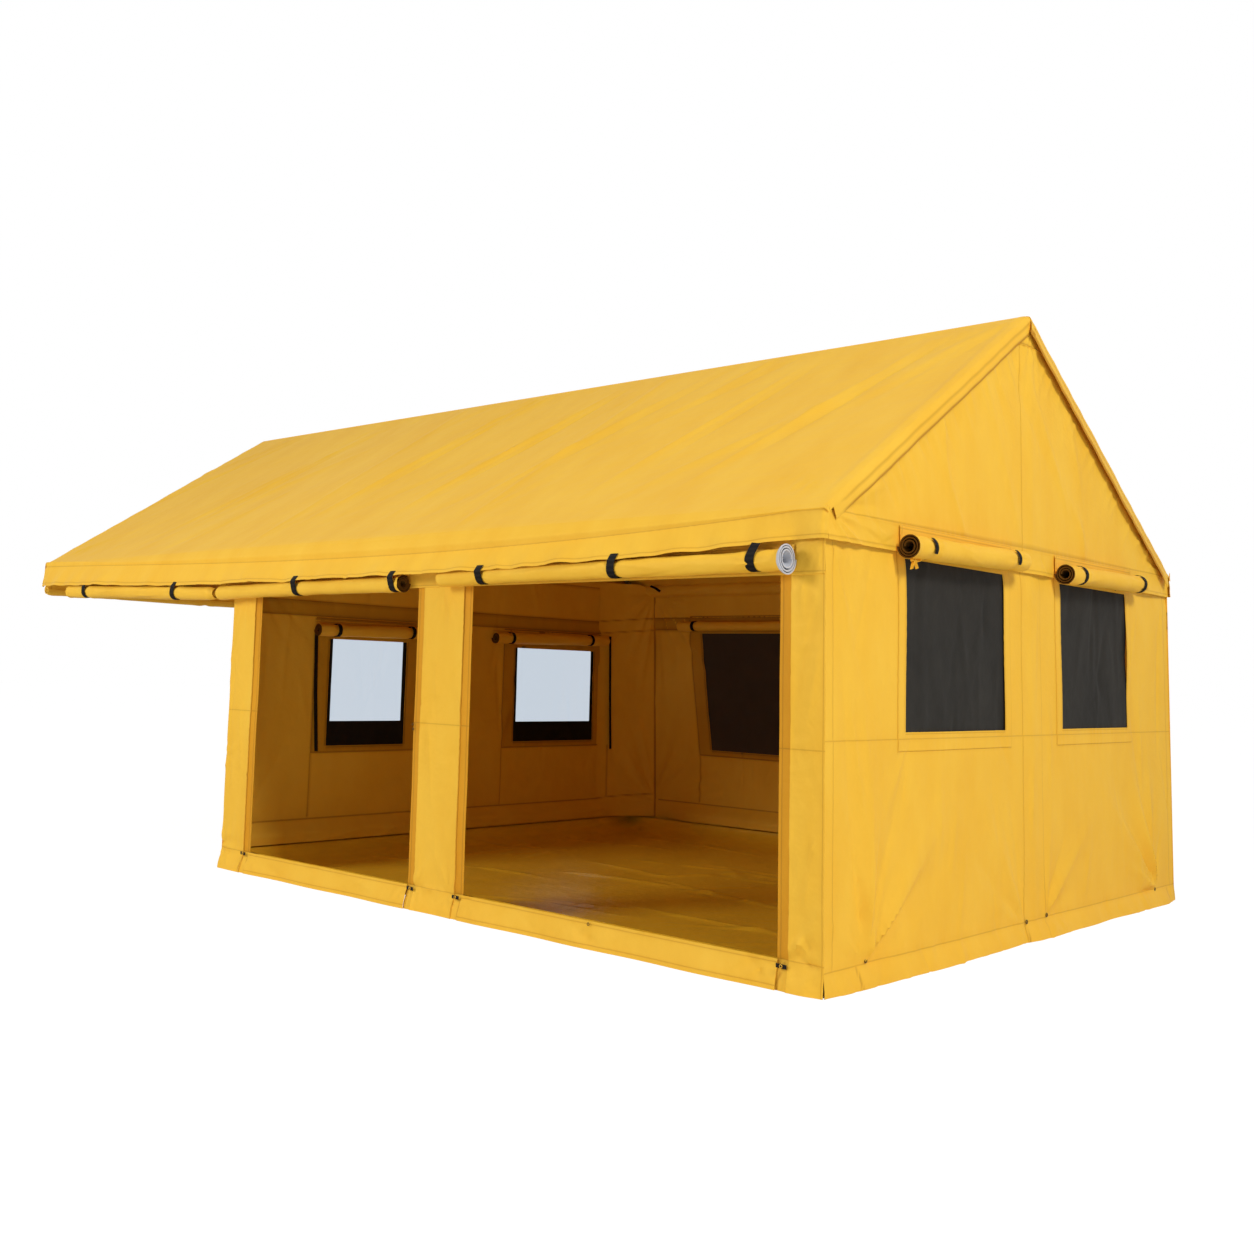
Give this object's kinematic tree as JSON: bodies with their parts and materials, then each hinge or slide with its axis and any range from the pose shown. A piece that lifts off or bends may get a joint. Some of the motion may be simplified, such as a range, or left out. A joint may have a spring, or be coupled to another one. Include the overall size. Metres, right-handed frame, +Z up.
{
  "type": "frame tent",
  "caption": "Canvas frame tent: closed room with door openings and netting windows under a gable roof that runs on as an open porch, curtains rolled up.",
  "frame": {"origin": "on the ground at the centre of the room's floor", "axes": "+X along the ridge to the closed end wall, +Z up, the doorways face -Y and the porch lies at -X"},
  "size_m": [7.3091, 4.163, 3.26],
  "materials": {
    "canvas": "matt woven cloth",
    "coated_floor": "coated cloth, slight sheen",
    "netting": "fine netting",
    "webbing": "woven tape",
    "galvanised_steel": "galvanised tube"
  },
  "bodies": {
    "tent": {"back_wall": "canvas", "door_curtain_left_strap_1": "webbing", "door_curtain_left_strap_2": "webbing", "door_curtain_right_strap_1": "webbing", "door_curtain_right_strap_2": "webbing", "door_curtain_right_strap_3": "webbing", "door_sill_left": "canvas", "door_sill_right": "canvas", "eave_pole_back": "galvanised_steel", "eave_pole_front": "galvanised_steel", "front_wall": "canvas", "gable_pole_left": "galvanised_steel", "gable_pole_right": "galvanised_steel", "groundsheet": "coated_floor", "left_gable_wall": "canvas", "porch_curtain_front_strap_1": "webbing", "porch_curtain_front_strap_2": "webbing", "porch_gable_panel": "canvas", "porch_tie_beam": "galvanised_steel", "post_back_centre": "galvanised_steel", "post_back_left": "galvanised_steel", "post_back_right": "galvanised_steel", "post_front_centre": "galvanised_steel", "post_front_left": "galvanised_steel", "post_front_right": "galvanised_steel", "rafter_back_centre": "galvanised_steel", "rafter_back_left": "galvanised_steel", "rafter_back_porch": "galvanised_steel", "rafter_back_right": "galvanised_steel", "rafter_front_centre": "galvanised_steel", "rafter_front_left": "galvanised_steel", "rafter_front_porch": "galvanised_steel", "rafter_front_right": "galvanised_steel", "ridge_joint_centre": "galvanised_steel", "ridge_joint_left": "galvanised_steel", "ridge_joint_porch": "galvanised_steel", "ridge_joint_right": "galvanised_steel", "ridge_pole": "galvanised_steel", "right_gable_panel": "canvas", "right_wall": "canvas", "roof_cover": "canvas", "window_mesh_back_1": "netting", "window_mesh_back_2": "netting", "window_mesh_left_1": "netting", "window_mesh_left_2": "netting", "window_mesh_right_1": "netting", "window_mesh_right_2": "netting"},
    "door_curtain_left": {"door_curtain_left": "canvas"},
    "door_curtain_right": {"door_curtain_right": "canvas"},
    "porch_curtain_end": {"porch_curtain_end": "canvas"},
    "porch_curtain_front": {"porch_curtain_front": "canvas"},
    "window_cover_back_1": {"window_cover_back_1": "canvas"},
    "window_cover_back_2": {"window_cover_back_2": "canvas"},
    "window_cover_left_1": {"window_cover_left_1": "canvas"},
    "window_cover_left_2": {"window_cover_left_2": "canvas"},
    "window_cover_right_1": {"window_cover_right_1": "canvas"},
    "window_cover_right_2": {"window_cover_right_2": "canvas"}
  },
  "joints": [
    {"name": "door_curtain_left_slide", "type": "slide", "parent": "tent", "child": "door_curtain_left", "axis": [0, 0, -1], "range_m": [0, 1.68], "deforming": ["door_curtain_left_strap_1", "door_curtain_left_strap_2"]},
    {"name": "door_curtain_right_slide", "type": "slide", "parent": "tent", "child": "door_curtain_right", "axis": [0, 0, -1], "range_m": [0, 1.68], "deforming": ["door_curtain_right_strap_1", "door_curtain_right_strap_2", "door_curtain_right_strap_3"]},
    {"name": "porch_curtain_end_slide", "type": "slide", "parent": "tent", "child": "porch_curtain_end", "axis": [0, 0, -1], "range_m": [0, 1.68]},
    {"name": "porch_curtain_front_slide", "type": "slide", "parent": "tent", "child": "porch_curtain_front", "axis": [0, 0, -1], "range_m": [0, 1.68], "deforming": ["porch_curtain_front_strap_1", "porch_curtain_front_strap_2"]},
    {"name": "window_cover_back_1_slide", "type": "slide", "parent": "tent", "child": "window_cover_back_1", "axis": [0, 0, -1], "range_m": [0, 1.04]},
    {"name": "window_cover_back_2_slide", "type": "slide", "parent": "tent", "child": "window_cover_back_2", "axis": [0, 0, -1], "range_m": [0, 1.04]},
    {"name": "window_cover_left_1_slide", "type": "slide", "parent": "tent", "child": "window_cover_left_1", "axis": [0, 0, -1], "range_m": [0, 0.85]},
    {"name": "window_cover_left_2_slide", "type": "slide", "parent": "tent", "child": "window_cover_left_2", "axis": [0, 0, -1], "range_m": [0, 0.85]},
    {"name": "window_cover_right_1_slide", "type": "slide", "parent": "tent", "child": "window_cover_right_1", "axis": [0, 0, -1], "range_m": [0, 0.88]},
    {"name": "window_cover_right_2_slide", "type": "slide", "parent": "tent", "child": "window_cover_right_2", "axis": [0, 0, -1], "range_m": [0, 0.88]}
  ]
}
